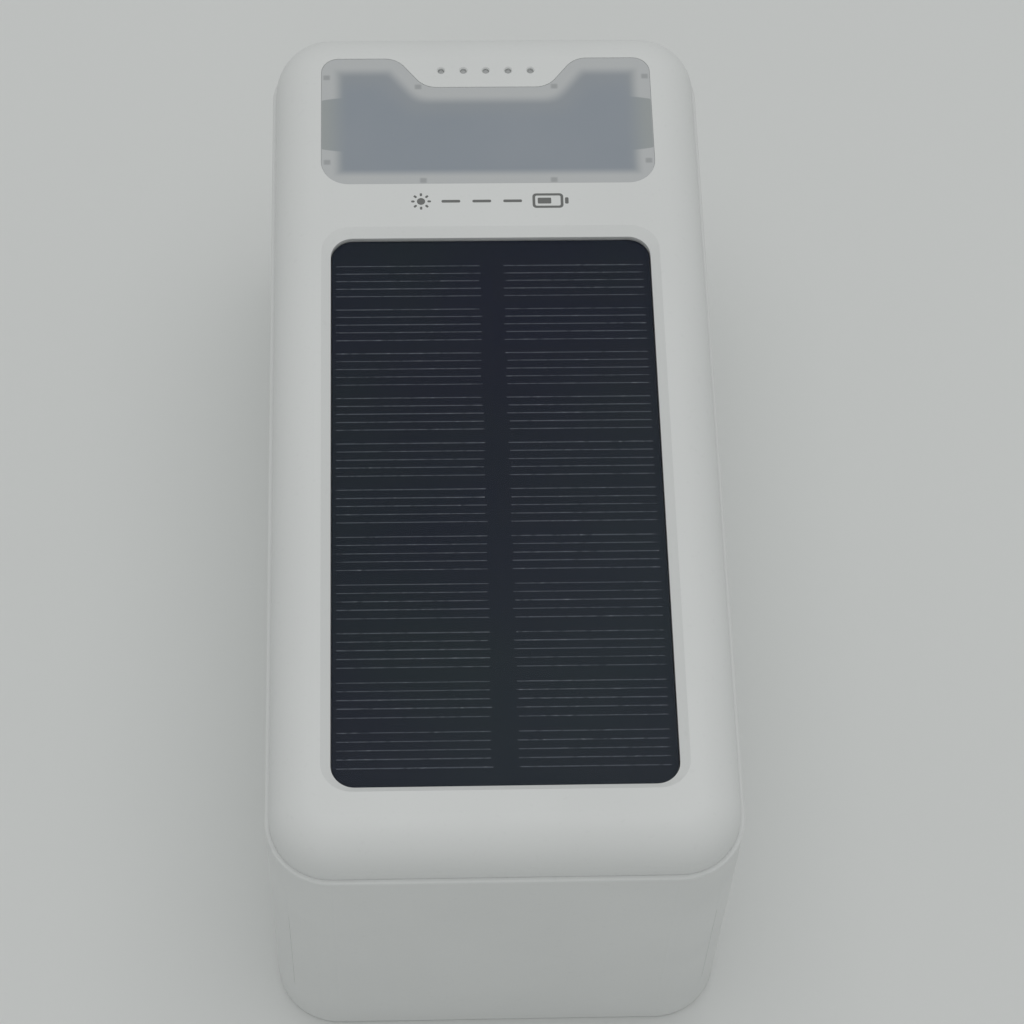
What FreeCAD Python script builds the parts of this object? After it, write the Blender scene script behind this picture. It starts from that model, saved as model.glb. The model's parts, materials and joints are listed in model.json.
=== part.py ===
"""Solar phone charger: a large box-shaped power bank with a solar panel, a camping lamp and USB ports.

A deep base case and a shallow top cover hold everything. The cover carries the solar panel in a bevelled
pocket, a frosted lamp lens with a notch, and five charge-level holes in the notch. Below it are the light
board, a pack of twenty-four round cells in three layers, and an upright main board at the back end, whose
USB sockets and power switch reach the case walls.

Frame: X across the width, Y along the length towards the ports, Z up. The origin is at the centre of the
underside. Units are millimetres. Each function returns one node; NODES at the end names them all.
"""

import FreeCAD
import Part

import math
import os

# ---- driving dimensions --------------------------------------------------------------------------
BODY_W = 79.6
BODY_L = 169.4
BODY_H = 75.5
SEAM_Z = 66.0           # top of the base case's rim
LEDGE = 0.8             # how far the base's rim stands out past the cover
RIM_ROUND = 0.4         # rounding along the rim's outer edge
SEAM_GAP = 0.06         # shadow line under the cover's edge
CORNER_R = 11.2         # upright corners of the base case
TOP_FILLET = 7.5        # rounding between the cover's top and its sides
BOTTOM_FILLET = 0.8
BASE_WALL = 2.6
COVER_WALL = 2.4

# solar panel
PANEL_W = 57.5
PANEL_L = 107.7
PANEL_Y = -17.45
PANEL_R = 4.0
PANEL_GAP = 0.15
BEVEL_DROP = 0.9
BEVEL_SIDE = 1.65
BEVEL_FRONT = 1.1
BEVEL_BACK = 1.95
PANEL_SUNK = 1.15       # panel face below the cover's top
BACKING_T = 1.2
CELL_T = 0.2
SHEET_T = 0.6           # clear sheet above the cells
TAPE_T = 0.2
CELL_ROWS = 11
ROW_PITCH = 9.21
CELL_SHIFT_Y = -0.85    # the printed cells sit a little towards the front of the panel
CELL_H = 9.0
LEFT_CELL = (-28.3, -1.9)
RIGHT_CELL = (2.0, 27.8)

# lamp window: its outline, as corners with their rounding, starting at the front left
WINDOW_X = 30.5
WINDOW_FRONT = 47.7
WINDOW_BACK = 76.0
NOTCH_Y = 69.4
NOTCH_TOP_X = 16.5
NOTCH_FOOT_X = 11.4
WINDOW_FRONT_R = 5.0
WINDOW_BACK_R = 3.2
NOTCH_R = 4.6
LENS_SUNK = 0.05
LENS_GAP = 0.03
FLANGE = 1.2
FLANGE_T = 1.2
TRAY_WALL = 2.8         # how far the reflector's frame reaches in from the window's edge
BOARD_T = 1.6
BOARD_TOP = 65.9        # face of the light board that carries the lamps

# printed pictogram between the panel and the lamp: a sun, three dashes and a battery
MARK_Y = 43.8
SUN_X = -12.4
BATTERY_X = 10.6
MARK_RECESS = 0.08
INK_T = 0.06

# charge-level lights
LEVEL_COUNT = 5
LEVEL_PITCH = 4.15
LEVEL_Y = 73.2
LEVEL_HOLE_R = 0.6
COUNTERSINK_R = 0.8
COUNTERSINK_T = 0.25

# cell pack
CELL_R = 9.0
CELL_LEN = 65.0
CELL_PITCH = 18.6
CELLS_PER_LAYER = 8
LAYERS = 3
PACK_FRONT = -80.7
PACK_FLOOR = 3.4
HOLDER_T = 3.8          # plate that holds one end of every cell
HOLDER_LIP = 0.8        # part of the plate that covers the cells' rims
STRIP_T = 0.2

# main board, sockets and button
MAIN_FRONT = 72.0
MAIN_HALF_W = 33.0
MAIN_Z = (8.0, 60.0)
PORT_Z = 48.0
PORT_FACE = BODY_L / 2 - 0.2
USB_A_X = (-22.5, -3.5)
USB_C_X = 13.5
MICRO_X = 25.5
SOCKET_CLEAR = 0.3
BUTTON_Y = 70.2
BUTTON_Z = 45.0
BUTTON_W = 4.8
BUTTON_H = 10.0
BUTTON_TRAVEL = 0.35
BUTTON_SLIP = 0.3       # clearance round the button in its hole

PANEL_TOP = BODY_H - PANEL_SUNK
PANEL_FLOOR = PANEL_TOP - SHEET_T - CELL_T - BACKING_T - TAPE_T
COVER_UNDER = BODY_H - COVER_WALL
COVER_W = BODY_W - 2 * LEDGE
COVER_L = BODY_L - 2 * LEDGE
BASE_IN_W = BODY_W - 2 * BASE_WALL
BASE_IN_L = BODY_L - 2 * BASE_WALL
MAIN_BACK = MAIN_FRONT + BOARD_T
PACK_BACK = PACK_FRONT + CELLS_PER_LAYER * CELL_PITCH
PACK_TOP = PACK_FLOOR + LAYERS * CELL_PITCH
STRIP_X = CELL_LEN / 2 + HOLDER_LIP


# ---- helpers -------------------------------------------------------------------------------------
def vec(x, y, z):
    return FreeCAD.Vector(x, y, z)


def box(x0, x1, y0, y1, z0, z1):
    return Part.makeBox(x1 - x0, y1 - y0, z1 - z0, vec(x0, y0, z0))


def rod(radius, start, end):
    """A cylinder from one point to another."""
    a, b = vec(*start), vec(*end)
    return Part.makeCylinder(radius, (b - a).Length, a, b - a)


def rounded_outline(corners, z):
    """A closed wire at height z through corners (x, y, radius), listed anticlockwise."""
    edges = []
    points = [(vec(x, y, z), r) for x, y, r in corners]
    ends = []
    for i, (here, radius) in enumerate(points):
        before = (points[i - 1][0] - here).normalize()
        after = (points[(i + 1) % len(points)][0] - here).normalize()
        half = before.getAngle(after) / 2
        reach = radius / math.tan(half)
        middle_way = (before + after).normalize()
        centre = here + middle_way * (radius / math.sin(half))
        start, stop = here + before * reach, here + after * reach
        edges.append(Part.Arc(start, centre - middle_way * radius, stop).toShape())
        ends.append((start, stop))
    sides = []
    for i, (_, stop) in enumerate(ends):
        sides.append(Part.LineSegment(stop, ends[(i + 1) % len(ends)][0]).toShape())
    return Part.Wire([e for pair in zip(edges, sides) for e in pair])


def rectangle_corners(x0, x1, y0, y1, radius):
    return [(x0, y0, radius), (x1, y0, radius), (x1, y1, radius), (x0, y1, radius)]


def slab(wire, height):
    return Part.Face(wire).extrude(vec(0, 0, height))


def block(width, length, radius, z0, z1, y_mid=0.0):
    """An upright block with rounded corners, centred on x = 0."""
    corners = rectangle_corners(-width / 2, width / 2, y_mid - length / 2, y_mid + length / 2, radius)
    return slab(rounded_outline(corners, z0), z1 - z0)


def edges_at(shape, z):
    """The shape's edges that lie flat at height z."""
    return [e for e in shape.Edges if abs(e.BoundBox.ZMin - z) < 1e-6 and abs(e.BoundBox.ZMax - z) < 1e-6]


def pill_on_side(half_w, half_h, x0, x1, y_mid, z_mid):
    """An upright pill shape that runs along X."""
    run = half_h - half_w
    body = box(x0, x1, y_mid - half_w, y_mid + half_w, z_mid - run, z_mid + run)
    for z in (z_mid - run, z_mid + run):
        body = body.fuse(rod(half_w, (x0, y_mid, z), (x1, y_mid, z)))
    return body.removeSplitter()


def stadium_on_back(half_w, half_h, y0, y1, x_mid, z_mid):
    """A level stadium shape that runs along Y."""
    run = half_w - half_h
    body = box(x_mid - run, x_mid + run, y0, y1, z_mid - half_h, z_mid + half_h)
    for x in (x_mid - run, x_mid + run):
        body = body.fuse(rod(half_h, (x, y0, z_mid), (x, y1, z_mid)))
    return body.removeSplitter()


def joined(shapes):
    return shapes[0].multiFuse(shapes[1:]).removeSplitter() if len(shapes) > 1 else shapes[0]


def wire_lead(points, radius, bend):
    """An insulated wire along straight runs joined by arcs."""
    path = [vec(*p) for p in points]
    edges, start = [], path[0]
    for i in range(1, len(path) - 1):
        back = (path[i - 1] - path[i]).normalize()
        on = (path[i + 1] - path[i]).normalize()
        half = back.getAngle(on) / 2
        reach = bend / math.tan(half)
        way = (back + on).normalize()
        middle = path[i] + way * (bend / math.sin(half) - bend)
        a, b = path[i] + back * reach, path[i] + on * reach
        edges.append(Part.LineSegment(start, a).toShape())
        edges.append(Part.Arc(a, middle, b).toShape())
        start = b
    edges.append(Part.LineSegment(start, path[-1]).toShape())
    spine = Part.Wire(edges)
    ring = Part.Wire([Part.makeCircle(radius, path[0], path[1] - path[0])])
    return spine.makePipeShell([ring], True, True)


# ---- shared places -------------------------------------------------------------------------------
def window_outline(z, grow=0.0):
    """The lamp window's outline at height z, moved outwards by grow."""
    outer, front = WINDOW_X + grow, WINDOW_FRONT - grow
    back, notch = WINDOW_BACK + grow, NOTCH_Y + grow
    slope = math.hypot(NOTCH_TOP_X - NOTCH_FOOT_X, WINDOW_BACK - NOTCH_Y)
    lean = (slope - (NOTCH_TOP_X - NOTCH_FOOT_X)) / (WINDOW_BACK - NOTCH_Y) * grow
    top_x, foot_x = NOTCH_TOP_X - lean, NOTCH_FOOT_X - lean
    front_r, back_r = max(WINDOW_FRONT_R + grow, 0.8), max(WINDOW_BACK_R + grow, 0.8)
    convex, hollow = NOTCH_R + grow, NOTCH_R - grow
    return rounded_outline([
        (-outer, front, front_r), (outer, front, front_r),
        (outer, back, back_r), (top_x, back, convex), (foot_x, notch, hollow),
        (-foot_x, notch, hollow), (-top_x, back, convex), (-outer, back, back_r)], z)


def level_xs():
    return [(i - (LEVEL_COUNT - 1) / 2) * LEVEL_PITCH for i in range(LEVEL_COUNT)]


def tray_peg_places():
    """Eight small locating holes round the lamp window, as x and y."""
    inset = 1.25
    places = []
    for side in (-1, 1):
        places += [(side * (WINDOW_X - inset), y) for y in (WINDOW_BACK - 4.6, WINDOW_FRONT + 4.4)]
        places += [(side * 12.0, WINDOW_FRONT + inset), (side * 11.6, NOTCH_Y - inset)]
    return places


def lamp_boss_places():
    return [(x, y) for x in (-33.8, 33.8) for y in (50.5, 70.0)]


def board_boss_places():
    """Centres of the main board's four mounting bosses, as x and z."""
    return [(x, z) for x in (-29.0, 29.0) for z in (14.0, 56.0)]


def snap_places():
    """Middle, direction and length of each snap bead: three on each long side, two on each end."""
    reach_x, reach_y = BASE_IN_W / 2 - 0.15, BASE_IN_L / 2 - 0.15
    along = [((s * reach_x, y), "Y") for s in (-1, 1) for y in (-50.0, 0.0, 50.0)]
    across = [((x, s * reach_y), "X") for s in (-1, 1) for x in (-18.0, 18.0)]
    return along + across


def snap_rods(radius, length):
    level = SEAM_Z - 1.9
    rods = []
    for (x, y), way in snap_places():
        dx, dy = (0, length / 2) if way == "Y" else (length / 2, 0)
        rods.append(rod(radius, (x - dx, y - dy, level), (x + dx, y + dy, level)))
    return rods


# ---- casing --------------------------------------------------------------------------------------
def base_case():
    shell = block(BODY_W, BODY_L, CORNER_R, 0, SEAM_Z)
    shell = shell.makeFillet(BOTTOM_FILLET, edges_at(shell, 0))
    shell = shell.makeFillet(RIM_ROUND, edges_at(shell, SEAM_Z))
    shell = shell.cut(block(BASE_IN_W, BASE_IN_L, CORNER_R - BASE_WALL, BASE_WALL, SEAM_Z + 1))
    back, deep = BODY_L / 2, BASE_WALL + 0.5
    shell = joined([shell] + [rod(2.8, (x, MAIN_BACK, z), (x, back - 1, z)) for x, z in board_boss_places()])
    cuts = [rod(1.02, (x, MAIN_BACK - 1, z), (x, MAIN_BACK + 7, z)) for x, z in board_boss_places()]
    for clear, depth in ((SOCKET_CLEAR, deep), (0.75, 0.5)):
        y0, y1 = back - depth, back + 1
        for x in USB_A_X:
            half_w, half_h = 6.55 + clear, 2.85 + clear
            cuts.append(box(x - half_w, x + half_w, y0, y1, PORT_Z - half_h, PORT_Z + half_h))
        cuts.append(stadium_on_back(4.47 + clear, 1.6 + clear, y0, y1, USB_C_X, PORT_Z))
        cuts.append(box(MICRO_X - 3.75 - clear, MICRO_X + 3.75 + clear, y0, y1,
                        PORT_Z - 1.3 - clear, PORT_Z + 1.3 + clear))
    side = BODY_W / 2
    cuts.append(pill_on_side(BUTTON_W / 2 + BUTTON_SLIP, BUTTON_H / 2 + BUTTON_SLIP,
                             side - deep, side + 1, BUTTON_Y, BUTTON_Z))
    cuts += snap_rods(0.8, 12.6)
    cuts += corner_witness_lines()
    return shell.cut(Part.makeCompound(cuts))


def corner_witness_lines():
    """Hairline grooves that the mould's side slides leave up each corner."""
    cuts = []
    for sx in (-1, 1):
        for sy in (-1, 1):
            centre = vec(sx * (BODY_W / 2 - CORNER_R), sy * (BODY_L / 2 - CORNER_R), 0)
            line = box(CORNER_R - 0.05, CORNER_R + 1, -0.05, 0.05, 12, 44)
            line.rotate(vec(0, 0, 0), vec(0, 0, 1), math.degrees(math.atan2(sy, sx)))
            line.translate(centre)
            cuts.append(line)
    return cuts


def top_cover():
    corner = CORNER_R - LEDGE
    shell = block(COVER_W, COVER_L, corner, SEAM_Z, BODY_H)
    shell = shell.makeFillet(TOP_FILLET, edges_at(shell, BODY_H))
    in_w, in_l = COVER_W - 2 * COVER_WALL, COVER_L - 2 * COVER_WALL
    hollow = block(in_w, in_l, corner - COVER_WALL, SEAM_Z, COVER_UNDER)
    hollow = hollow.makeFillet(4.0, edges_at(hollow, COVER_UNDER))
    shell = shell.cut(hollow)
    skirt_w, skirt_l, skirt_t = BASE_IN_W - 0.3, BASE_IN_L - 0.3, 1.3
    skirt = block(skirt_w, skirt_l, CORNER_R - BASE_WALL - 0.15, SEAM_Z - 3, SEAM_Z + 1)
    skirt = skirt.cut(block(skirt_w - 2 * skirt_t, skirt_l - 2 * skirt_t, 6.5, SEAM_Z - 4, SEAM_Z + 2))
    pad = block(PANEL_W + 4, PANEL_L + 4, PANEL_R + 2, PANEL_FLOOR - 1.4, COVER_UNDER + 0.5, PANEL_Y)
    bosses = [rod(1.8, (x, y, BOARD_TOP), (x, y, COVER_UNDER + 0.5)) for x, y in lamp_boss_places()]
    shell = joined([shell, skirt, pad] + bosses + snap_rods(0.6, 12.0))
    return shell.cut(Part.makeCompound(cover_cuts()))


def cover_cuts():
    groove = block(COVER_W + 2, COVER_L + 2, CORNER_R, SEAM_Z - 0.01, SEAM_Z + SEAM_GAP)
    groove = groove.cut(block(COVER_W - 0.5, COVER_L - 0.5, CORNER_R - LEDGE - 0.25, SEAM_Z - 1, SEAM_Z + 1))
    half_w, half_l = PANEL_W / 2, PANEL_L / 2
    low = rectangle_corners(-half_w, half_w, PANEL_Y - half_l, PANEL_Y + half_l, PANEL_R)
    high = rectangle_corners(-half_w - BEVEL_SIDE, half_w + BEVEL_SIDE,
                             PANEL_Y - half_l - BEVEL_FRONT, PANEL_Y + half_l + BEVEL_BACK, PANEL_R + 1.2)
    bevel = Part.makeLoft([rounded_outline(low, BODY_H - BEVEL_DROP), rounded_outline(high, BODY_H)],
                          True, True)
    pocket = slab(rounded_outline(low, PANEL_FLOOR), BODY_H - BEVEL_DROP - PANEL_FLOOR)
    lead_hole = box(-5, 5, 27, 31, PANEL_FLOOR - 3, PANEL_FLOOR + 1)
    window = slab(window_outline(COVER_UNDER - 1), COVER_WALL + 2)
    holes = []
    for x in level_xs():
        holes.append(rod(LEVEL_HOLE_R, (x, LEVEL_Y, COVER_UNDER - 1), (x, LEVEL_Y, BODY_H + 1)))
        holes.append(Part.makeCone(LEVEL_HOLE_R, COUNTERSINK_R, COUNTERSINK_T,
                                   vec(x, LEVEL_Y, BODY_H - COUNTERSINK_T), vec(0, 0, 1)))
    pilots = [rod(1.02, (x, y, BOARD_TOP - 1), (x, y, BOARD_TOP + 5.6)) for x, y in lamp_boss_places()]
    return [groove, bevel, pocket, lead_hole, window, pictogram(BODY_H - MARK_RECESS, 1.0)] + holes + pilots


def flat_bar(x0, x1, y0, y1, radius, z, height):
    return slab(rounded_outline(rectangle_corners(x0, x1, y0, y1, radius), z), height)


def pictogram(z, height):
    parts = [rod(0.75, (SUN_X, MARK_Y, z), (SUN_X, MARK_Y, z + height))]
    for i in range(8):
        ray = flat_bar(SUN_X + 1.15, SUN_X + 1.8, MARK_Y - 0.22, MARK_Y + 0.22, 0.18, z, height)
        ray.rotate(vec(SUN_X, MARK_Y, z), vec(0, 0, 1), 45 * i)
        parts.append(ray)
    for x in (-7.0, -1.4, 4.2):
        parts.append(flat_bar(x - 1.7, x + 1.7, MARK_Y - 0.3, MARK_Y + 0.3, 0.25, z, height))
    x0, x1, half = BATTERY_X - 2.8, BATTERY_X + 2.8, 1.6
    case = flat_bar(x0, x1, MARK_Y - half, MARK_Y + half, 0.7, z, height)
    case = case.cut(flat_bar(x0 + 0.5, x1 - 0.5, MARK_Y - half + 0.5, MARK_Y + half - 0.5, 0.3, z, height))
    parts.append(case)
    parts.append(flat_bar(x0 + 0.95, x1 - 2.2, MARK_Y - 0.65, MARK_Y + 0.65, 0.2, z, height))
    parts.append(flat_bar(x1 + 0.3, x1 + 0.95, MARK_Y - 0.7, MARK_Y + 0.7, 0.25, z, height))
    return Part.makeCompound(parts)


def printed_mark():
    return pictogram(BODY_H - MARK_RECESS, INK_T)


# ---- solar panel ---------------------------------------------------------------------------------
def panel_block(z0, z1, inset=PANEL_GAP):
    return block(PANEL_W - 2 * inset, PANEL_L - 2 * inset, PANEL_R - inset, z0, z1, PANEL_Y)


def panel_tape():
    ring = panel_block(PANEL_FLOOR, PANEL_FLOOR + TAPE_T, 0.6)
    return ring.cut(panel_block(PANEL_FLOOR - 1, PANEL_FLOOR + 1, 3.6 - 0.3))


def solar_backing():
    z = PANEL_FLOOR + TAPE_T
    return panel_block(z, z + BACKING_T)


def solar_cells():
    z = PANEL_FLOOR + TAPE_T + BACKING_T
    middle = (CELL_ROWS - 1) / 2
    cells = []
    for row in range(CELL_ROWS):
        y = PANEL_Y + CELL_SHIFT_Y + (row - middle) * ROW_PITCH
        for x0, x1 in (LEFT_CELL, RIGHT_CELL):
            cells.append(box(x0, x1, y - CELL_H / 2, y + CELL_H / 2, z, z + CELL_T))
    return Part.makeCompound(cells)


def solar_top_sheet():
    z = PANEL_FLOOR + TAPE_T + BACKING_T
    return panel_block(z, PANEL_TOP).cut(solar_cells())


# ---- lamp ----------------------------------------------------------------------------------------
def lamp_lens():
    flange = slab(window_outline(COVER_UNDER - FLANGE_T, FLANGE), FLANGE_T)
    face = BODY_H - LENS_SUNK
    plug = slab(window_outline(COVER_UNDER - 0.5, -LENS_GAP), face - COVER_UNDER + 0.5)
    plug = plug.makeFillet(0.06, edges_at(plug, face))
    return joined([flange, plug])


def lamp_reflector():
    top = COVER_UNDER - FLANGE_T
    frame = slab(window_outline(BOARD_TOP, FLANGE), top - BOARD_TOP)
    opening = slab(window_outline(BOARD_TOP - 1, -TRAY_WALL), top - BOARD_TOP + 2)
    bays = [box(x0, x1, 55.4, 66.7, BOARD_TOP + 0.8, top + 1)
            for x0, x1 in ((-WINDOW_X + 1.5, -WINDOW_X + 5), (WINDOW_X - 5, WINDOW_X - 1.5))]
    holes = [rod(0.55, (x, y, BOARD_TOP + 1), (x, y, top + 1)) for x, y in tray_peg_places()]
    return frame.cut(Part.makeCompound([opening] + bays + holes))


def light_board():
    back = WINDOW_BACK + 1.6
    board = slab(rounded_outline(rectangle_corners(-35.4, 35.4, WINDOW_FRONT - FLANGE, back, 3.0),
                                 BOARD_TOP - BOARD_T), BOARD_T)
    holes = [rod(1.15, (x, y, BOARD_TOP - BOARD_T - 1), (x, y, BOARD_TOP + 1)) for x, y in lamp_boss_places()]
    return board.cut(Part.makeCompound(holes))


def lamp_leds():
    leds = []
    for column in range(6):
        for y in (54.0, 64.0):
            x = (column - 2.5) * 9.0
            leds.append(box(x - 1.4, x + 1.4, y - 1.75, y + 1.75, BOARD_TOP, BOARD_TOP + 0.8))
    return Part.makeCompound(leds)


def indicator_leds():
    return Part.makeCompound([box(x - 0.8, x + 0.8, LEVEL_Y - 0.6, LEVEL_Y + 0.6, BOARD_TOP, BOARD_TOP + 0.8)
                              for x in level_xs()])


def indicator_shroud():
    top = COVER_UNDER
    body = box(-9.9, 9.9, LEVEL_Y - 1.5, LEVEL_Y + 2.2, BOARD_TOP, top)
    wells = [rod(1.1, (x, LEVEL_Y, BOARD_TOP - 1), (x, LEVEL_Y, top + 1)) for x in level_xs()]
    return body.cut(Part.makeCompound(wells))


def light_board_screws():
    screws = []
    under = BOARD_TOP - BOARD_T
    for x, y in lamp_boss_places():
        head = rod(1.75, (x, y, under - 1.3), (x, y, under))
        shank = rod(1.0, (x, y, under - 0.2), (x, y, BOARD_TOP + 5.2))
        slot = box(x - 1.3, x + 1.3, y - 0.2, y + 0.2, under - 1.4, under - 0.8)
        cross = box(x - 0.2, x + 0.2, y - 1.3, y + 1.3, under - 1.4, under - 0.8)
        screws.append(joined([head, shank]).cut(Part.makeCompound([slot, cross])))
    return Part.makeCompound(screws)


def main_board_screws():
    screws = []
    face = MAIN_FRONT
    for x, z in board_boss_places():
        head = rod(2.1, (x, face - 1.4, z), (x, face, z))
        shank = rod(1.0, (x, face - 0.2, z), (x, MAIN_BACK + 6.4, z))
        slot = box(x - 1.4, x + 1.4, face - 1.5, face - 0.8, z - 0.2, z + 0.2)
        cross = box(x - 0.2, x + 0.2, face - 1.5, face - 0.8, z - 1.4, z + 1.4)
        screws.append(joined([head, shank]).cut(Part.makeCompound([slot, cross])))
    return Part.makeCompound(screws)


# ---- main board, sockets and switch --------------------------------------------------------------
def main_board():
    board = box(-MAIN_HALF_W, MAIN_HALF_W, MAIN_FRONT, MAIN_BACK, *MAIN_Z)
    holes = [rod(1.3, (x, MAIN_FRONT - 1, z), (x, MAIN_BACK + 1, z)) for x, z in board_boss_places()]
    return board.cut(Part.makeCompound(holes))


def usb_a_shell(x):
    outer = box(x - 6.55, x + 6.55, MAIN_BACK, PORT_FACE, PORT_Z - 2.85, PORT_Z + 2.85)
    outer = outer.makeFillet(0.5, [e for e in outer.Edges if e.BoundBox.YLength > 5])
    inner = box(x - 6.25, x + 6.25, MAIN_BACK - 1, PORT_FACE + 1, PORT_Z - 2.55, PORT_Z + 2.55)
    return outer.cut(inner)


def usb_a_insulator(x):
    back = box(x - 6.25, x + 6.25, MAIN_BACK, MAIN_BACK + 4, PORT_Z - 2.55, PORT_Z + 2.55)
    tongue = box(x - 5.6, x + 5.6, MAIN_BACK + 3.5, PORT_FACE - 0.9, PORT_Z + 0.2, PORT_Z + 2.0)
    return joined([back, tongue])


def usb_a_contacts():
    pads = []
    for x in USB_A_X:
        for i in range(4):
            px = x + (i - 1.5) * 2.3
            pads.append(box(px - 0.5, px + 0.5, MAIN_BACK + 4, PORT_FACE - 1.6, PORT_Z + 0.05, PORT_Z + 0.2))
    return Part.makeCompound(pads)


def usb_c_shell():
    outer = stadium_on_back(4.47, 1.6, MAIN_BACK, PORT_FACE, USB_C_X, PORT_Z)
    return outer.cut(stadium_on_back(4.17, 1.3, MAIN_BACK - 1, PORT_FACE + 1, USB_C_X, PORT_Z))


def usb_c_tongue():
    back = stadium_on_back(4.17, 1.3, MAIN_BACK, PORT_FACE - 6.0, USB_C_X, PORT_Z)
    x0, x1, y0, y1 = USB_C_X - 3.35, USB_C_X + 3.35, PORT_FACE - 6.5, PORT_FACE - 0.7
    tongue = box(x0, x1, y0, y1, PORT_Z - 0.35, PORT_Z + 0.35)
    return joined([back, tongue])


def micro_profile(inset, y0, y1):
    """The micro socket's section: a box with its two lower corners cut off."""
    half_w, low, high, cut = 3.75 - inset, PORT_Z - 1.3 + inset, PORT_Z + 1.3 - inset, 0.8
    points = [(MICRO_X - half_w, high), (MICRO_X - half_w, low + cut), (MICRO_X - half_w + cut, low),
              (MICRO_X + half_w - cut, low), (MICRO_X + half_w, low + cut), (MICRO_X + half_w, high)]
    loop = Part.makePolygon([vec(x, y0, z) for x, z in points + points[:1]])
    return Part.Face(loop).extrude(vec(0, y1 - y0, 0))


def micro_usb_shell():
    return micro_profile(0, MAIN_BACK, PORT_FACE).cut(micro_profile(0.3, MAIN_BACK - 1, PORT_FACE + 1))


def micro_usb_tongue():
    back = micro_profile(0.3, MAIN_BACK, PORT_FACE - 5.0)
    tongue = box(MICRO_X - 1.9, MICRO_X + 1.9, PORT_FACE - 5.5, PORT_FACE - 0.6, PORT_Z + 0.05, PORT_Z + 0.65)
    return joined([back, tongue])


def power_switch():
    body = box(29.0, 34.0, MAIN_FRONT - 3.6, MAIN_FRONT, BUTTON_Z - 3, BUTTON_Z + 3)
    return body.cut(rod(1.3, (31.2, BUTTON_Y, BUTTON_Z), (35.0, BUTTON_Y, BUTTON_Z)))


def switch_plunger():
    return rod(1.0, (32.0, BUTTON_Y, BUTTON_Z), (35.0, BUTTON_Y, BUTTON_Z))


def power_button():
    side = BODY_W / 2
    cap = pill_on_side(BUTTON_W / 2, BUTTON_H / 2, side - 3.6, side, BUTTON_Y, BUTTON_Z)
    rim = [e for e in cap.Edges if abs(e.BoundBox.XMin - side) < 1e-6 and abs(e.BoundBox.XMax - side) < 1e-6]
    cap = cap.makeFillet(0.4, rim)
    flange = pill_on_side(BUTTON_W / 2 + 0.9, BUTTON_H / 2 + 0.9, side - 3.9, side - BASE_WALL - 0.1,
                          BUTTON_Y, BUTTON_Z)
    stem = rod(1.5, (35.0, BUTTON_Y, BUTTON_Z), (side - 3.0, BUTTON_Y, BUTTON_Z))
    return joined([cap, flange, stem])


def power_inductors():
    coils = []
    for x in (-20.0, -10.5, 20.0):
        coil = box(x - 3.6, x + 3.6, MAIN_BACK, MAIN_BACK + 4, 26.4, 33.6)
        coils.append(coil.makeFillet(1.2, [e for e in coil.Edges if e.BoundBox.YLength > 3]))
    return Part.makeCompound(coils)


def capacitors():
    ends = (MAIN_BACK, MAIN_BACK + 6.5)
    return Part.makeCompound([rod(3.15, (x, ends[0], 18), (x, ends[1], 18)) for x in (-21, -13, 13, 21)])


def control_chips():
    chips = [(-2, 30, 3.5, 3.5), (8, 30, 2.5, 3.0), (-3.5, 18, 3.0, 2.2), (4.5, 18, 2.0, 2.0)]
    face, top = MAIN_BACK, MAIN_BACK + 1.0
    return Part.makeCompound([box(x - w, x + w, face, top, z - h, z + h) for x, z, w, h in chips])


# ---- cell pack -----------------------------------------------------------------------------------
def cell_places():
    """The cells' centre lines, as y and z."""
    return [(PACK_FRONT + CELL_PITCH * (i + 0.5), PACK_FLOOR + CELL_PITCH * (layer + 0.5))
            for layer in range(LAYERS) for i in range(CELLS_PER_LAYER)]


def battery_cells():
    cells = []
    for y, z in cell_places():
        cell = rod(CELL_R, (-CELL_LEN / 2, y, z), (CELL_LEN / 2, y, z))
        cells.append(cell.makeFillet(0.6, [e for e in cell.Edges if e.Curve.TypeId == "Part::GeomCircle"]))
    return Part.makeCompound(cells)


def cell_holder(side):
    """A plate with a round pocket for each cell's end and a smaller window for its contact."""
    outer, inner = side * STRIP_X, side * (STRIP_X - HOLDER_T)
    plate = box(*sorted((outer, inner)), PACK_FRONT, PACK_BACK, PACK_FLOOR, PACK_TOP)
    cuts = []
    for y, z in cell_places():
        cuts.append(rod(CELL_R + 0.1, (inner - side, y, z), (side * CELL_LEN / 2, y, z)))
        cuts.append(rod(7.0, (inner - side, y, z), (outer + side, y, z)))
    return plate.cut(Part.makeCompound(cuts))


def nickel_strips(side):
    """One strip per layer with a dimple pressed in to each cell, and a cross strip that joins the layers."""
    near, far = side * STRIP_X, side * (STRIP_X + STRIP_T)
    x0, x1 = sorted((near, far))
    parts = []
    for layer in range(LAYERS):
        z = PACK_FLOOR + CELL_PITCH * (layer + 0.5)
        parts.append(box(x0, x1, PACK_FRONT + 5, PACK_BACK - 5, z - 4, z + 4))
    y = PACK_FRONT + CELL_PITCH * 4
    parts.append(box(x0, x1, y - 4, y + 4, PACK_FLOOR + 6, PACK_TOP - 6))
    parts += [rod(2.2, (side * CELL_LEN / 2, y, z), (near + side * 0.1, y, z)) for y, z in cell_places()]
    return joined(parts)


def insulation_sheet():
    return box(-STRIP_X, STRIP_X, PACK_FRONT, PACK_BACK, PACK_TOP, PACK_TOP + 0.4)


def pack_foam():
    """Foam strips above the pack, a pad below it and a pad in front of it."""
    low, high = PACK_TOP + 0.4, PANEL_FLOOR - 1.4
    strips = [box(x - 6, x + 6, -66, 20, low, high) for x in (-20, 20)]
    floor_pad = box(-30, 30, -76, 64, BASE_WALL, PACK_FLOOR)
    front_pad = box(-27, 27, -BASE_IN_L / 2, PACK_FRONT, 10, 52)
    return Part.makeCompound(strips + [floor_pad, front_pad])


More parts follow.
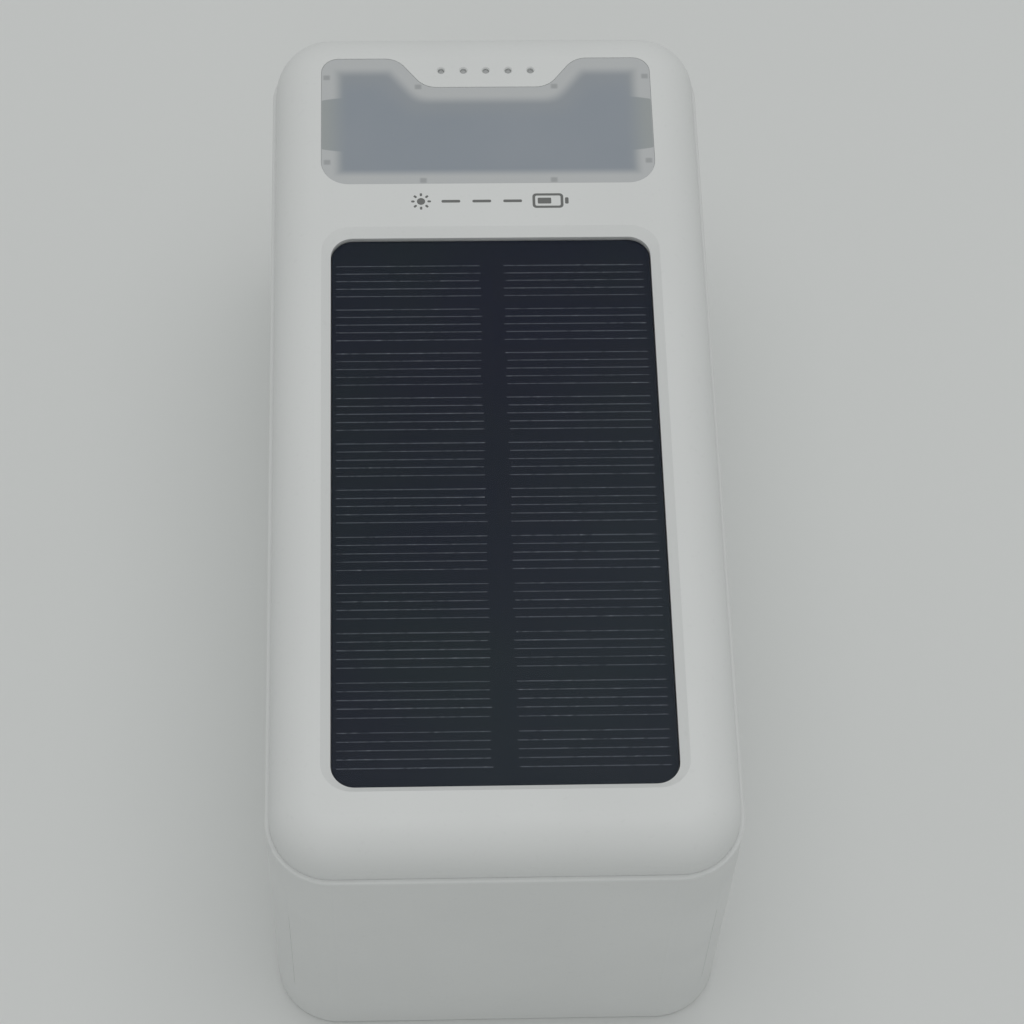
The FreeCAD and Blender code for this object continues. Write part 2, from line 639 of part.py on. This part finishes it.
# ---- wiring --------------------------------------------------------------------------------------
def battery_lead(side):
    along = side * (STRIP_X + STRIP_T + 0.9)
    z = PACK_FLOOR + CELL_PITCH * 1.5
    end = side * 27
    return wire_lead([(along, 50, z), (along, 70, z), (end, 70, z), (end, MAIN_FRONT, z)], 0.9, 1.2)


def solar_leads():
    tray_front, low, high = WINDOW_FRONT - FLANGE - 0.9, 61.8, PANEL_FLOOR - 3.0
    return Part.makeCompound([
        wire_lead([(x, 29, PANEL_FLOOR + TAPE_T), (x, 29, high), (x, tray_front, high), (x, tray_front, low),
                   (x, 70.2, low), (x, 70.2, 56.5), (x, MAIN_FRONT, 56.5)], 0.6, 1.2) for x in (-3, 3)])


def lamp_leads():
    return Part.makeCompound([
        wire_lead([(x, 63, BOARD_TOP - BOARD_T), (x, 63, 61.8), (x, 70.2, 61.8), (x, 70.2, 56.5),
                   (x, MAIN_FRONT, 56.5)], 0.5, 1.2) for x in (-14, -11.5, 11.5, 14)])


NODES = {
    "base_case": base_case,
    "top_cover": top_cover,
    "printed_mark": printed_mark,
    "panel_tape": panel_tape,
    "solar_backing": solar_backing,
    "solar_cells": solar_cells,
    "solar_top_sheet": solar_top_sheet,
    "lamp_lens": lamp_lens,
    "lamp_reflector": lamp_reflector,
    "light_board": light_board,
    "lamp_leds": lamp_leds,
    "indicator_leds": indicator_leds,
    "indicator_shroud": indicator_shroud,
    "light_board_screws": light_board_screws,
    "main_board": main_board,
    "main_board_screws": main_board_screws,
    "usb_a_shell_1": lambda: usb_a_shell(USB_A_X[0]),
    "usb_a_shell_2": lambda: usb_a_shell(USB_A_X[1]),
    "usb_a_insulator_1": lambda: usb_a_insulator(USB_A_X[0]),
    "usb_a_insulator_2": lambda: usb_a_insulator(USB_A_X[1]),
    "usb_a_contacts": usb_a_contacts,
    "usb_c_shell": usb_c_shell,
    "usb_c_tongue": usb_c_tongue,
    "micro_usb_shell": micro_usb_shell,
    "micro_usb_tongue": micro_usb_tongue,
    "power_switch": power_switch,
    "switch_plunger": switch_plunger,
    "power_button": power_button,
    "power_inductors": power_inductors,
    "capacitors": capacitors,
    "control_chips": control_chips,
    "battery_cells": battery_cells,
    "cell_holder_left": lambda: cell_holder(-1),
    "cell_holder_right": lambda: cell_holder(1),
    "nickel_strips_left": lambda: nickel_strips(-1),
    "nickel_strips_right": lambda: nickel_strips(1),
    "insulation_sheet": insulation_sheet,
    "pack_foam": pack_foam,
    "battery_lead_positive": lambda: battery_lead(1),
    "battery_lead_negative": lambda: battery_lead(-1),
    "solar_leads": solar_leads,
    "lamp_leads": lamp_leads,
}

os.makedirs("parts", exist_ok=True)
for name, make in NODES.items():
    shape = make()
    assert shape.isValid() and shape.Solids, name
    shape.exportStep(f"parts/{name}.step")
    print(f"{name}: {len(shape.Solids)} solid(s), {shape.Volume:.1f} mm3")
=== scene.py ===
"""Looks of the solar phone charger: materials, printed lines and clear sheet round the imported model."""

import json
import math
import random

import bmesh
import bpy
from mathutils import Matrix, Quaternion, Vector


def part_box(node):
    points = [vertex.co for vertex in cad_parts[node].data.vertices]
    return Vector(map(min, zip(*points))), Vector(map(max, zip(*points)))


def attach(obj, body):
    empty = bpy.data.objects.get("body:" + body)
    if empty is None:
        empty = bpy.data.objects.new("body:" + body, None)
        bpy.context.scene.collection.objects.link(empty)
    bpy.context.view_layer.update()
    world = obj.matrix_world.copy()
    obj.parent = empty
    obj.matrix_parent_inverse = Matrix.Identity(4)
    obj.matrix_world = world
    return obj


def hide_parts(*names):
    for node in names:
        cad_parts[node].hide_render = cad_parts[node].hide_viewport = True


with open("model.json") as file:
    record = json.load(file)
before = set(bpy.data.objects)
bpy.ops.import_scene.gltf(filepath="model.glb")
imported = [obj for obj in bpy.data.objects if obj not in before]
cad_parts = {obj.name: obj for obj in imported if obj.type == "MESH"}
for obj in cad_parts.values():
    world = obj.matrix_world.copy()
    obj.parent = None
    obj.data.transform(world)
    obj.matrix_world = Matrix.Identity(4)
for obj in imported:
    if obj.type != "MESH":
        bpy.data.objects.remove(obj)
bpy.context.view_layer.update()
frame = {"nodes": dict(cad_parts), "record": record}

MM = 0.001

# Solar panel: rows of cells from its front to its back, in two columns, under a clear sheet.
CELL_ROWS = 11
CELL_DEPTH = 9.0 * MM
FIRST_ROW_NUMBER = -6
FINGERS_PER_CELL = 5
FINGER_PITCH = 1.61 * MM
FINGER_WIDTH = 0.15 * MM
FINGER_HEIGHT = 0.02 * MM
FINGER_MARGIN = 0.5 * MM
PANEL_CORNER = 3.85 * MM
CORNER_STEPS = 10
ENCAPSULANT_SUNK = 0.004 * MM
SHEET_GAP = 0.04 * MM
SHEET_EDGE = 0.12 * MM

# Lamp lens: the flange hidden by the cover, the notch in its back edge, and the tray seen through it.
LENS_FLANGE = 1.2 * MM
NOTCH_DEPTH = 6.6 * MM
NOTCH_HALF = 11.4 * MM
NOTCH_TILT = math.radians(37.7)
NOTCH_BLEND = 3.0 * MM
FRONT_FRAME = 2.3 * MM
BACK_FRAME = 2.9 * MM
NOTCH_FRAME = 2.8 * MM
POST_LENGTH = 2.9 * MM
BAY_FRAME = 0.12 * MM
BAY_MIDDLE = 13.3 * MM
BAY_HALF = 5.4 * MM
POST_BLEND = 0.7 * MM
FRAME_BLEND = 0.35

# Charge lights: the studs' outline, as radius and depth below the cover's top.
LIGHTS = 5
LED_WIDTH = 1.6 * MM
STUD_OUTLINE = ((0.59 * MM, 2.2 * MM), (0.59 * MM, 0.60 * MM), (0.45 * MM, 0.54 * MM), (0.2 * MM, 0.52 * MM))
STUD_SIDES = 18

# Stage.
FLOOR_HALF = 3.0
FLOOR_DROP = 0.02 * MM
CAMERA_PLACE = Vector((-17.78, -278.18, 539.97)) * MM
CAMERA_AZIMUTH = math.radians(4.457)
CAMERA_DOWN = math.radians(60.922)
CAMERA_ROLL = math.radians(3.282)
SENSOR_WIDTH = 36.0
FOCAL_LENGTH = 109.18


# ---- materials -----------------------------------------------------------------------------------
class Look:
    """One node material: a Principled shader and the textures that vary it, in object coordinates."""

    def __init__(self, name, colour, roughness, **constants):
        self.material = bpy.data.materials.new(name)
        self.material.use_nodes = True
        self.tree = self.material.node_tree
        self.shader = self.tree.nodes["Principled BSDF"]
        self.place = self.add("ShaderNodeTexCoord").outputs["Object"]
        constants.update(Base_Color=(*colour, 1.0), Roughness=roughness)
        for socket, value in constants.items():
            self.feed(self.shader.inputs[socket.replace("_", " ")], value)

    def feed(self, socket, value):
        """Gives an input a constant, or links another node's output to it."""
        if isinstance(value, bpy.types.NodeSocket):
            self.tree.links.new(value, socket)
        else:
            socket.default_value = value

    def add(self, kind, inputs=None, **settings):
        node = self.tree.nodes.new(kind)
        for key, value in settings.items():
            setattr(node, key, value)
        for socket, value in (inputs or {}).items():
            self.feed(node.inputs[socket], value)
        return node

    def maths(self, operation, *values):
        return self.add("ShaderNodeMath", dict(enumerate(values)), operation=operation).outputs[0]

    def axis(self, name):
        return self.add("ShaderNodeSeparateXYZ", {"Vector": self.place}).outputs[name]

    def noise(self, scale, detail=2.0, stretch=None, roughness=0.5):
        place = self.place
        if stretch:
            place = self.add("ShaderNodeMapping", {"Vector": place, "Scale": stretch}).outputs["Vector"]
        inputs = {"Vector": place, "Scale": scale, "Detail": detail, "Roughness": roughness}
        return self.add("ShaderNodeTexNoise", inputs).outputs["Fac"]

    def voronoi(self, scale, **settings):
        inputs = {"Vector": self.place, "Scale": scale}
        return self.add("ShaderNodeTexVoronoi", inputs, **settings).outputs["Distance"]

    def ramp(self, value, low, high, to_low=0.0, to_high=1.0):
        """Eases from to_low to to_high while value goes from low to high."""
        inputs = {"Value": value, "From Min": low, "From Max": high, "To Min": to_low, "To Max": to_high}
        return self.add("ShaderNodeMapRange", inputs, interpolation_type="SMOOTHSTEP").outputs["Result"]

    def tint(self, colour, amount):
        """Mixes a colour into the base colour, as far as the socket amount says."""
        base = self.shader.inputs["Base Color"]
        below = base.links[0].from_socket if base.is_linked else base.default_value
        mix = self.add("ShaderNodeMix", {"A": below, "B": (*colour, 1.0), "Factor": amount}, data_type="RGBA")
        self.feed(base, mix.outputs["Result"])

    def mottle(self, colour, scale, low, high, amount=1.0, **texture):
        """Mixes a colour in by up to amount, in patches where a noise climbs from low to high."""
        self.tint(colour, self.ramp(self.noise(scale, **texture), low, high, 0.0, amount))

    def vary_roughness(self, low, high, scale, detail=2.0):
        self.feed(self.shader.inputs["Roughness"], self.ramp(self.noise(scale, detail), 0.3, 0.7, low, high))

    def bump(self, height, distance, strength):
        node = self.add("ShaderNodeBump", {"Height": height, "Distance": distance, "Strength": strength})
        self.feed(self.shader.inputs["Normal"], node.outputs["Normal"])


def shade(colour, factor):
    return [part * factor for part in colour]


def moulded_plastic(name, colour, roughness=0.5, grain=2600.0, depth=0.02 * MM):
    """Matt injection-moulded plastic: fine spark-eroded grain, faint flow mottling and handling marks."""
    look = Look(name, colour, roughness)
    look.mottle(shade(colour, 0.94), 38.0, 0.35, 0.7, 0.35, detail=3.0, stretch=(1.0, 0.45, 1.0))
    look.mottle(shade(colour, 0.8), 900.0, 0.62, 0.8, 0.12, detail=1.0)
    look.vary_roughness(roughness - 0.06, roughness + 0.08, 60.0, 3.0)
    look.bump(look.noise(grain), depth, 0.5)
    return look


def drawn_metal(name, colour, roughness=0.3, stretch=(1.0, 0.06, 1.0)):
    """Sheet metal with drawing lines along one axis and faint smears."""
    look = Look(name, colour, roughness, Metallic=1.0)
    lines = look.noise(3500.0, 3.0, stretch)
    look.tint(shade(colour, 0.7), look.ramp(lines, 0.4, 0.75, 0.0, 0.5))
    look.vary_roughness(roughness - 0.1, roughness + 0.14, 220.0, 3.0)
    look.bump(lines, 0.006 * MM, 0.4)
    return look


def soft_insulation(name, colour):
    """Rubbery wire insulation with a dusty sheen."""
    look = Look(name, colour, 0.5)
    dusty = [part + 0.08 for part in colour]
    look.mottle(dusty, 700.0, 0.45, 0.75, 0.5, detail=3.0)
    look.vary_roughness(0.4, 0.6, 400.0)
    look.bump(look.noise(2500.0), 0.02 * MM, 0.4)
    return look


def circuit_board(name, mask, trace):
    """Solder mask over copper tracks, with tinned pads."""
    look = Look(name, mask, 0.35, Coat_Weight=0.3)
    tracks = look.ramp(look.voronoi(330.0, feature="DISTANCE_TO_EDGE"), 0.02, 0.07, 1.0, 0.0)
    look.tint(trace, tracks)
    pads = look.ramp(look.voronoi(420.0, distance="CHEBYCHEV"), 0.10, 0.13, 0.8, 0.0)
    look.tint((0.62, 0.62, 0.60), pads)
    look.vary_roughness(0.28, 0.42, 300.0)
    look.bump(tracks, 0.02 * MM, 0.6)
    return look


def cell_rows():
    """Where the first row of cells starts, and the pitch from row to row."""
    low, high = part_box("solar_cells")
    return low.y, (high.y - low.y - CELL_DEPTH) / (CELL_ROWS - 1)


def paint_panel_sheen(look):
    """Paints a sheen of reflected light on the panel, paler from its back left corner to its front right one.
    """
    across_and_forward = look.maths("MULTIPLY_ADD", look.axis("Y"), -0.75, look.axis("X"))
    look.tint((0.0230, 0.0325, 0.0385), look.ramp(across_and_forward, -10.0 * MM, 65.0 * MM, 0.0, 0.75))


def silicon():
    """Solar cells: blue-black, each cell a slightly different tone, with painted glints as a fine crystal
    sparkle and a painted sheen over the panel.
    """
    look = Look("cell_silicon", (0.0102, 0.0132, 0.0256), 0.42, Specular_IOR_Level=0.1)
    start, pitch = cell_rows()
    first_gap = start - (pitch - CELL_DEPTH) / 2
    rows_on = look.maths("MULTIPLY_ADD", look.axis("Y"), 1 / pitch, FIRST_ROW_NUMBER - first_gap / pitch)
    column = look.ramp(look.axis("X"), -0.1 * MM, 0.1 * MM, 0.0, 7.0)
    cell = look.maths("MULTIPLY_ADD", look.maths("FLOOR", rows_on), 1.37, column)
    tone = look.add("ShaderNodeTexWhiteNoise", noise_dimensions="1D")
    look.feed(tone.inputs["W"], cell)
    look.tint((0.0118, 0.0147, 0.0245), look.maths("MULTIPLY", tone.outputs["Value"], 0.8))
    look.mottle((0.0122, 0.0186, 0.0232), 28.0, 0.4, 0.72, 0.6, detail=3.0)
    look.mottle((0.0185, 0.0158, 0.0275), 17.0, 0.5, 0.75, 0.7)
    # Painted sheen: the panel grows paler towards its front right.
    paint_panel_sheen(look)
    # Painted glints: fine pale specks for the crystal sparkle.
    look.mottle((0.030, 0.036, 0.045), 3800.0, 0.64, 0.82, 0.12)
    look.vary_roughness(0.35, 0.5, 900.0)
    look.bump(look.noise(3000.0), 0.003 * MM, 0.25)
    return look


def printed_silver():
    """Thin silver paste lines, partly worn through, with painted glints as bright dots along them."""
    look = Look("printed_silver", (0.105, 0.120, 0.148), 0.5, Specular_IOR_Level=0.3)
    worn, glint_stretch = (1.0, 2.0, 1.0), (1.0, 3.0, 1.0)
    look.mottle((0.011, 0.018, 0.028), 1000.0, 0.54, 0.60, 0.85, detail=3.0, stretch=worn, roughness=0.7)
    # Painted glints: bright dots along the lines.
    look.mottle((0.27, 0.295, 0.33), 950.0, 0.58, 0.66, 0.9, detail=3.0, stretch=glint_stretch, roughness=0.7)
    look.bump(look.noise(2400.0), 0.01 * MM, 0.4)
    return look


def panel_laminate():
    look = Look("panel_laminate", (0.0104, 0.0138, 0.0252), 0.45, Specular_IOR_Level=0.1)
    look.mottle((0.0122, 0.0170, 0.0248), 55.0, 0.35, 0.7, 0.8, detail=3.0)
    # Painted sheen: the panel grows paler towards its front right.
    paint_panel_sheen(look)
    look.bump(look.noise(1500.0), 0.008 * MM, 0.35)
    return look


def clear_resin():
    """Cast resin over the cells: clear, with a satin surface that greys what lies below a little."""
    look = Look("clear_resin", (0.040, 0.046, 0.080), 0.34, Alpha=0.06, Specular_IOR_Level=0.22)
    look.mottle((0.045, 0.080, 0.078), 26.0, 0.42, 0.72, 0.7, detail=3.0)
    look.mottle((0.070, 0.055, 0.085), 15.0, 0.5, 0.75, 0.8)
    look.vary_roughness(0.28, 0.42, 120.0, 3.0)
    look.bump(look.noise(1300.0), 0.004 * MM, 0.3)
    return look


def frosted_lens():
    """Milky polycarbonate, opaque, with the view through it painted on. The white tray shows as a paler frame
    with two posts a side, the deep middle as blurred blue-grey painted shade, and there are four small darker
    marks."""
    low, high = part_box("lamp_lens")
    half, front, back = high.x - LENS_FLANGE, low.y + LENS_FLANGE, high.y - LENS_FLANGE
    notch = back - NOTCH_DEPTH
    look = Look("frosted_lens", (0.280, 0.314, 0.356), 0.42, Coat_Weight=0.12, Coat_Roughness=0.3,
                Specular_IOR_Level=0.4)
    across, along = look.maths("ABSOLUTE", look.axis("X")), look.axis("Y")

    def past(first, second, width):
        """How far first is past second, in parts of the frame's width there."""
        return look.maths("DIVIDE", look.maths("SUBTRACT", first, second), width)

    def off(value, middle):
        return look.maths("ABSOLUTE", look.maths("SUBTRACT", value, middle))

    side_frame = look.ramp(off(along, front + BAY_MIDDLE), BAY_HALF, BAY_HALF + POST_BLEND, BAY_FRAME,
                           POST_LENGTH)
    side_gap = past(half, across, side_frame)
    front_gap = past(along, front, FRONT_FRAME)
    back_gap = past(back, along, BACK_FRAME)
    past_foot = past(across, NOTCH_HALF, 1 / math.cos(NOTCH_TILT))
    past_floor = past(along, notch, 1 / math.sin(NOTCH_TILT))
    slope_gap = look.maths("SUBTRACT", past_foot, past_floor)
    around_notch = look.maths("SMOOTH_MAX", slope_gap, look.maths("SUBTRACT", notch, along), NOTCH_BLEND)
    notch_gap = look.maths("DIVIDE", around_notch, NOTCH_FRAME)
    inside = side_gap
    for gap in (front_gap, back_gap, notch_gap):
        inside = look.maths("SMOOTH_MIN", inside, gap, FRAME_BLEND)
    behind = look.maths("SMOOTH_MIN", back_gap, notch_gap, FRAME_BLEND)

    look.tint((0.330, 0.350, 0.365), look.ramp(behind, 1.0, 3.0, 0.55, 0.0))
    look.mottle((0.325, 0.350, 0.385), 55.0, 0.35, 0.7, 0.3)
    look.tint((0.352, 0.378, 0.380), look.ramp(across, half - 5.5 * MM, half - 0.3 * MM))
    # Painted view through the lens: the tray as a paler frame, the deep middle left darker as painted shade.
    look.tint((0.512, 0.528, 0.534), look.ramp(inside, 0.62, 1.5, 1.0, 0.0))
    marks = [(half - 1.0 * MM, back - 4.3 * MM), (half - 1.1 * MM, front + 4.9 * MM),
             (11.9 * MM, front + 0.75 * MM), (12.6 * MM, notch + 0.1 * MM)]
    for x, y in marks:
        near_x = look.ramp(off(across, x), 0.35 * MM, 0.85 * MM, 1.0, 0.0)
        near_y = look.ramp(off(along, y), 0.3 * MM, 0.75 * MM, 1.0, 0.0)
        look.tint((0.330, 0.343, 0.350), look.maths("MULTIPLY", look.maths("MULTIPLY", near_x, near_y), 0.75))
    look.vary_roughness(0.36, 0.5, 150.0)
    look.bump(look.noise(2600.0), 0.008 * MM, 0.4)
    return look


def light_guide():
    look = Look("light_guide", (0.42, 0.43, 0.43), 0.45, Coat_Weight=0.2, Coat_Roughness=0.3)
    look.mottle((0.28, 0.29, 0.29), 900.0, 0.4, 0.7, 0.7)
    look.bump(look.noise(2500.0), 0.006 * MM, 0.4)
    return look


def white_reflector():
    look = Look("white_reflector", (0.82, 0.82, 0.80), 0.35)
    look.mottle((0.72, 0.72, 0.70), 120.0, 0.4, 0.75, 0.5, detail=3.0)
    look.vary_roughness(0.28, 0.42, 300.0)
    look.bump(look.noise(2200.0), 0.01 * MM, 0.3)
    return look


def lamp_phosphor():
    look = Look("lamp_phosphor", (0.80, 0.66, 0.22), 0.4)
    look.mottle((0.86, 0.84, 0.74), 500.0, 0.5, 0.62)
    look.vary_roughness(0.3, 0.5, 800.0)
    look.bump(look.noise(3000.0), 0.01 * MM, 0.4)
    return look


def pressed_powder():
    look = Look("ferrite", (0.05, 0.05, 0.055), 0.6)
    look.mottle((0.12, 0.12, 0.12), 1500.0, 0.5, 0.7, 0.7, detail=3.0)
    look.vary_roughness(0.5, 0.7, 600.0)
    look.bump(look.noise(2000.0, 3.0), 0.03 * MM, 0.6)
    return look


def cell_sleeve():
    """Shrink sleeve over a steel can, with a bare rim towards the ends."""
    look = Look("cell_sleeve", (0.03, 0.13, 0.32), 0.35, Coat_Weight=0.2)
    sleeve_end = 31.9 * MM
    along = look.maths("ABSOLUTE", look.axis("X"))
    look.tint((0.62, 0.63, 0.64), look.ramp(along, sleeve_end, sleeve_end + 0.1 * MM))
    look.mottle((0.02, 0.09, 0.24), 90.0, 0.4, 0.7, 0.6, detail=3.0)
    look.vary_roughness(0.25, 0.45, 200.0)
    look.bump(look.noise(400.0, 3.0, (0.3, 1.0, 1.0)), 0.03 * MM, 0.4)
    return look


def fibre_card():
    look = Look("fibre_card", (0.36, 0.48, 0.36), 0.8)
    look.mottle((0.26, 0.36, 0.27), 600.0, 0.4, 0.7, 0.7, detail=4.0, stretch=(1.0, 0.2, 1.0))
    look.bump(look.noise(1400.0, 4.0), 0.05 * MM, 0.6)
    return look


def open_foam():
    look = Look("open_foam", (0.035, 0.035, 0.04), 0.9)
    pores = look.voronoi(1100.0)
    # Painted shade: the pores darkened almost to black.
    look.tint((0.01, 0.01, 0.012), look.ramp(pores, 0.1, 0.4, 0.9, 0.0))
    look.bump(pores, 0.2 * MM, 0.8)
    return look


def studio_paper():
    look = Look("studio_paper", (0.748, 0.762, 0.752), 0.85)
    look.mottle((0.720, 0.733, 0.724), 3.0, 0.3, 0.7, 0.6, detail=3.0)
    return look


LOOKS = {
    "case_plastic": moulded_plastic("case_plastic", (0.736, 0.750, 0.742)),
    "button_plastic": moulded_plastic("button_plastic", (0.71, 0.72, 0.715), 0.42, 3200.0),
    "panel_sheet": clear_resin(),
    "silicon": silicon(),
    "panel_backing": panel_laminate(),
    "tape": open_foam(),
    "frosted_lens": frosted_lens(),
    "white_plastic": white_reflector(),
    "black_plastic": moulded_plastic("black_plastic", (0.022, 0.022, 0.024), 0.45, 3000.0),
    "circuit_board": circuit_board("circuit_board", (0.012, 0.09, 0.045), (0.03, 0.17, 0.08)),
    "white_board": circuit_board("white_board", (0.62, 0.64, 0.64), (0.52, 0.54, 0.54)),
    "lamp_phosphor": lamp_phosphor(),
    "socket_steel": drawn_metal("socket_steel", (0.66, 0.67, 0.68)),
    "screw_steel": drawn_metal("screw_steel", (0.55, 0.56, 0.57), 0.38, (1.0, 1.0, 0.1)),
    "contact_gold": drawn_metal("contact_gold", (0.80, 0.60, 0.26), 0.25),
    "ferrite": pressed_powder(),
    "capacitor_can": drawn_metal("capacitor_can", (0.68, 0.69, 0.71), 0.28),
    "cell_sleeve": cell_sleeve(),
    "nickel": drawn_metal("nickel", (0.66, 0.65, 0.61), 0.35),
    "card": fibre_card(),
    "foam": open_foam(),
    "red_wire": soft_insulation("red_wire", (0.45, 0.02, 0.015)),
    "black_wire": soft_insulation("black_wire", (0.012, 0.012, 0.012)),
    "white_wire": soft_insulation("white_wire", (0.70, 0.70, 0.68)),
    "print_ink": moulded_plastic("print_ink", (0.155, 0.16, 0.155), 0.5, 4000.0, 0.008 * MM),
}


def dress_cad_nodes():
    """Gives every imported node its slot's look."""
    for entry in frame["record"]["subparts"]:
        obj = frame["nodes"][entry["node"]]
        obj.data.materials.clear()
        obj.data.materials.append(LOOKS[entry["material_slot"]].material)


# ---- new pieces ----------------------------------------------------------------------------------
def mesh_object(name, bm, look):
    mesh = bpy.data.meshes.new(name)
    bm.normal_update()
    bm.to_mesh(mesh)
    bm.free()
    mesh.materials.append(look.material)
    obj = bpy.data.objects.new(name, mesh)
    bpy.context.scene.collection.objects.link(obj)
    return obj


def piece(name, bm, look):
    """A new piece of the charger, in the look it is given, attached to the charger's body."""
    obj = mesh_object(name, bm, look)
    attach(obj, "charger")
    return obj


def loft(bm, outlines):
    """A closed solid through outlines with equally many points, anticlockwise, from the lowest up."""
    rings = [[bm.verts.new(point) for point in outline] for outline in outlines]
    for lower, upper in zip(rings, rings[1:]):
        for i in range(len(lower)):
            j = (i + 1) % len(lower)
            bm.faces.new((lower[i], lower[j], upper[j], upper[i]))
    bm.faces.new(rings[-1])
    bm.faces.new(rings[0][::-1])


def panel_outline(inset, z):
    """The panel's outline with its rounded corners, drawn in by inset, at height z."""
    low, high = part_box("solar_backing")
    left, right = low.x + PANEL_CORNER, high.x - PANEL_CORNER
    front, back = low.y + PANEL_CORNER, high.y - PANEL_CORNER
    radius = PANEL_CORNER - inset
    points = []
    for quarter, (x, y) in enumerate([(right, back), (left, back), (left, front), (right, front)]):
        for i in range(CORNER_STEPS + 1):
            turn = math.radians(90 * (quarter + i / CORNER_STEPS))
            points.append((x + radius * math.cos(turn), y + radius * math.sin(turn), z))
    return points


def cell_encapsulant():
    """The dark resin the cells are bedded in, which fills the gaps between and around them."""
    low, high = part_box("solar_cells")
    bm = bmesh.new()
    loft(bm, [panel_outline(0.0, low.z), panel_outline(0.0, high.z - ENCAPSULANT_SUNK)])
    piece("cell_encapsulant", bm, LOOKS["silicon"])


def clear_sheet():
    """The clear sheet as a thin slab with a rounded edge, a hair above the cells."""
    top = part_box("solar_top_sheet")[1].z
    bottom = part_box("solar_cells")[1].z + SHEET_GAP
    soft = SHEET_EDGE * 0.3
    levels = [(0.0, bottom), (0.0, top - SHEET_EDGE), (soft, top - soft), (SHEET_EDGE, top)]
    bm = bmesh.new()
    loft(bm, [panel_outline(inset, z) for inset, z in levels])
    obj = piece("panel_clear_sheet", bm, LOOKS["panel_sheet"])
    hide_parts("solar_top_sheet")


def finger_lines():
    """Printed silver lines on the cells: five per cell, ragged at their inner ends."""
    low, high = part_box("solar_cells")
    start, pitch = cell_rows()
    rng = random.Random(5)
    bm = bmesh.new()
    for row in range(CELL_ROWS):
        middle = start + CELL_DEPTH / 2 + row * pitch
        for k in range(FINGERS_PER_CELL):
            y = middle + (k - (FINGERS_PER_CELL - 1) / 2) * FINGER_PITCH + rng.uniform(-0.03, 0.03) * MM
            ends = [(low.x + FINGER_MARGIN, rng.uniform(-2.4, -1.9) * MM),
                    (rng.uniform(2.0, 2.5) * MM, high.x - FINGER_MARGIN)]
            for x0, x1 in ends:
                half = FINGER_WIDTH / 2 * rng.uniform(0.75, 1.15)
                corners = [(x0, y - half), (x1, y - half), (x1, y + half), (x0, y + half)]
                loft(bm, [[(*corner, z) for corner in corners] for z in (high.z, high.z + FINGER_HEIGHT)])
    piece("cell_finger_lines", bm, printed_silver())


def level_light_guides():
    """A milky stud deep in each charge-level hole, over its light."""
    low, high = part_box("indicator_leds")
    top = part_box("top_cover")[1].z
    y = (low.y + high.y) / 2
    pitch = (high.x - low.x - LED_WIDTH) / (LIGHTS - 1)
    turns = [math.radians(360 * k / STUD_SIDES) for k in range(STUD_SIDES)]
    bm = bmesh.new()
    for i in range(LIGHTS):
        x = low.x + LED_WIDTH / 2 + i * pitch
        loft(bm, [[(x + radius * math.cos(turn), y + radius * math.sin(turn), top - depth) for turn in turns]
                  for radius, depth in STUD_OUTLINE])
    piece("level_light_guides", bm, light_guide())


# ---- stage ---------------------------------------------------------------------------------------
def floor():
    bm = bmesh.new()
    bmesh.ops.create_grid(bm, x_segments=8, y_segments=8, size=FLOOR_HALF)
    obj = mesh_object("floor", bm, studio_paper())
    obj.location.z = -FLOOR_DROP


def area_light(name, place, aim, size, watts):
    light = bpy.data.lights.new(name, "AREA")
    light.shape = "DISK"
    light.size = size
    light.energy = watts
    obj = bpy.data.objects.new(name, light)
    obj.location = place
    obj.rotation_euler = (Vector(aim) - Vector(place)).to_track_quat("-Z", "Y").to_euler()
    bpy.context.scene.collection.objects.link(obj)


def lights():
    """Soft light from all round, a wide lamp overhead and a weak one in front."""
    world = bpy.data.worlds.new("studio")
    world.use_nodes = True
    background = world.node_tree.nodes["Background"]
    background.inputs["Color"].default_value = (0.985, 1.0, 0.993, 1.0)
    background.inputs["Strength"].default_value = 0.475
    bpy.context.scene.world = world
    area_light("overhead", place=(0.07, 0.22, 1.75), aim=(0, 0, 0), size=1.8, watts=8.0)
    area_light("front_fill", place=(-0.15, -1.6, 1.0), aim=(0, 0, 0.04), size=1.4, watts=0.7)


def camera():
    """A long lens above the front end, looking down at the top."""
    data = bpy.data.cameras.new("camera")
    data.sensor_width = SENSOR_WIDTH
    data.lens = FOCAL_LENGTH
    level = math.cos(CAMERA_DOWN)
    forward = Vector((math.sin(CAMERA_AZIMUTH) * level, math.cos(CAMERA_AZIMUTH) * level,
                      -math.sin(CAMERA_DOWN)))
    turn = forward.to_track_quat("-Z", "Y") @ Quaternion((0, 0, 1), CAMERA_ROLL)
    obj = bpy.data.objects.new("camera", data)
    obj.matrix_world = Matrix.Translation(CAMERA_PLACE) @ turn.to_matrix().to_4x4()
    bpy.context.scene.collection.objects.link(obj)
    bpy.context.scene.camera = obj


dress_cad_nodes()
cell_encapsulant()
clear_sheet()
finger_lines()
level_light_guides()
floor()
lights()
camera()
bpy.context.scene.view_settings.view_transform = "Standard"
